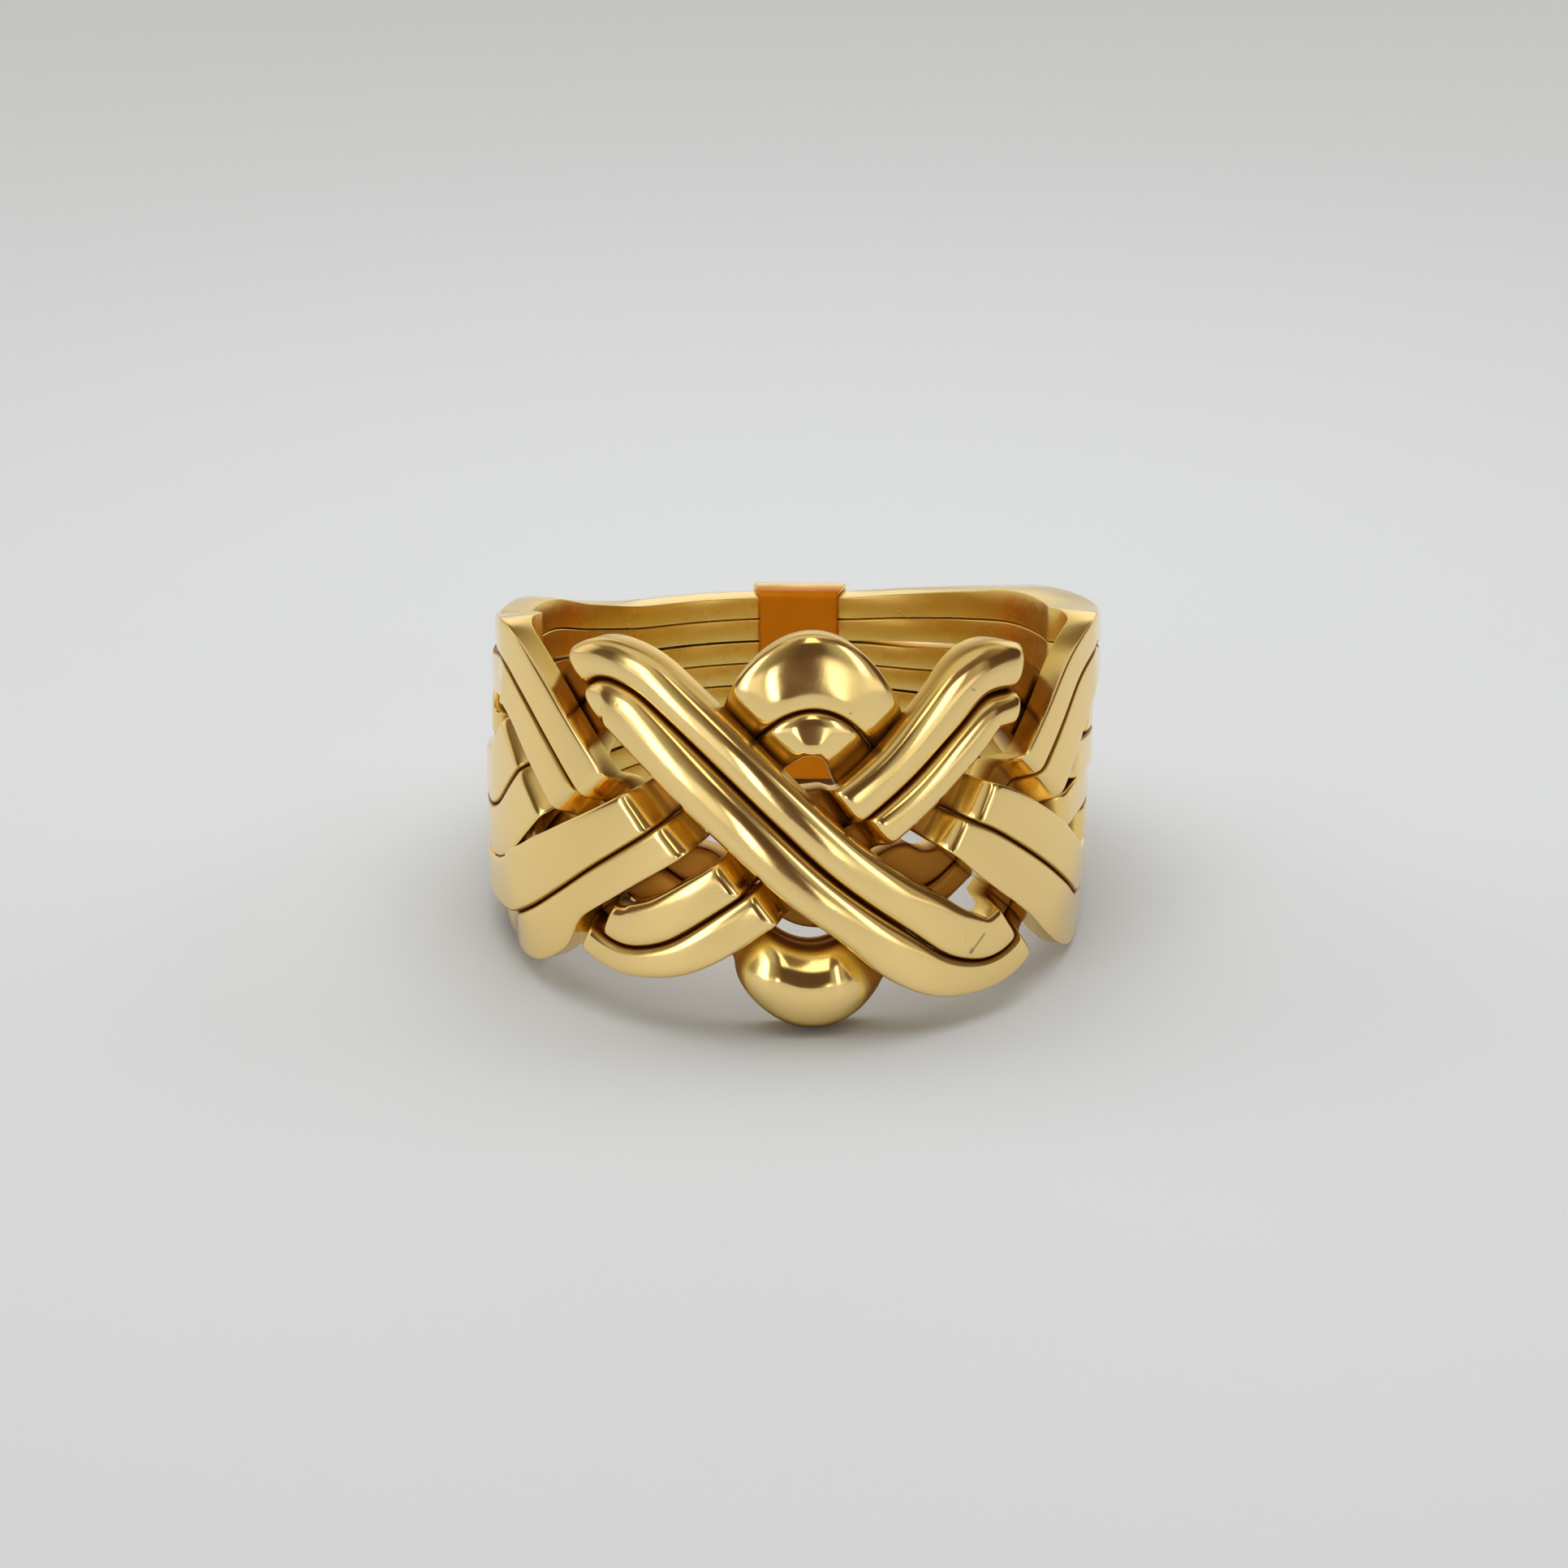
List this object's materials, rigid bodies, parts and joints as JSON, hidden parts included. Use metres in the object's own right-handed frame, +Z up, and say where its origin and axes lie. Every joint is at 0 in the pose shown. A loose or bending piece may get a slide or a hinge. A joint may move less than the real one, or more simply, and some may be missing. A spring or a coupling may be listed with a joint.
{
  "type": "puzzle ring",
  "caption": "Finger ring of closed interlinked bands woven into a crossing lattice at the front and held in a stack at the back by a keeper strap.",
  "frame": {"origin": "on the table under the middle of the ring's box, with the ring lying on its side", "axes": "+Z up from the table; -Y towards the front of the weave; +X to the right seen from the front. The finger hollow runs along +Z, leaning 9.9 degrees towards +Y at its top"},
  "size_m": [0.0224, 0.0237, 0.0142],
  "materials": {
    "band_gold": "polished yellow gold with fine wear",
    "keeper_gold": "polished yellow gold with fine wear"
  },
  "bodies": {
    "root": {"over_band_upper": "band_gold", "over_band_lower": "band_gold", "under_band_upper": "band_gold", "under_band_lower": "band_gold", "top_loop_outer": "band_gold", "top_loop_inner": "band_gold", "bottom_loop_inner": "band_gold", "bottom_loop_outer": "band_gold", "back_keeper": "keeper_gold"}
  },
  "joints": []
}
